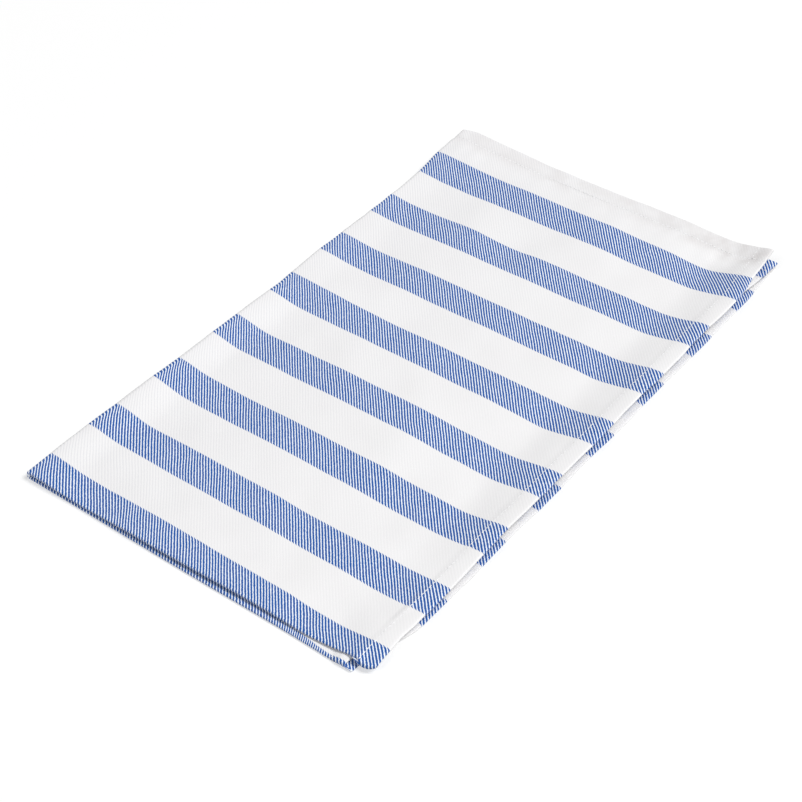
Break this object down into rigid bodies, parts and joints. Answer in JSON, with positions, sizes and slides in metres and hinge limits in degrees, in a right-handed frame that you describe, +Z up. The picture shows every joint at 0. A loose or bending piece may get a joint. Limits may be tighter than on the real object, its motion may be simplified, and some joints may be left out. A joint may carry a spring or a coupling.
{
  "type": "folded tea towel",
  "caption": "Cotton tea towel with crosswise stripes, folded in quarters and lying flat, with hems stacked along two edges.",
  "frame": {"origin": "middle of the folded towel's footprint, on the surface it lies on", "axes": "+X from the long fold to the side hems, +Y from the cross fold to the end hems, +Z up"},
  "size_m": [0.234, 0.3816, 0.0132],
  "materials": {
    "cotton": "matt twill weave, white with blue stripes"
  },
  "bodies": {
    "root": {"towel_cloth": "cotton"}
  },
  "joints": []
}
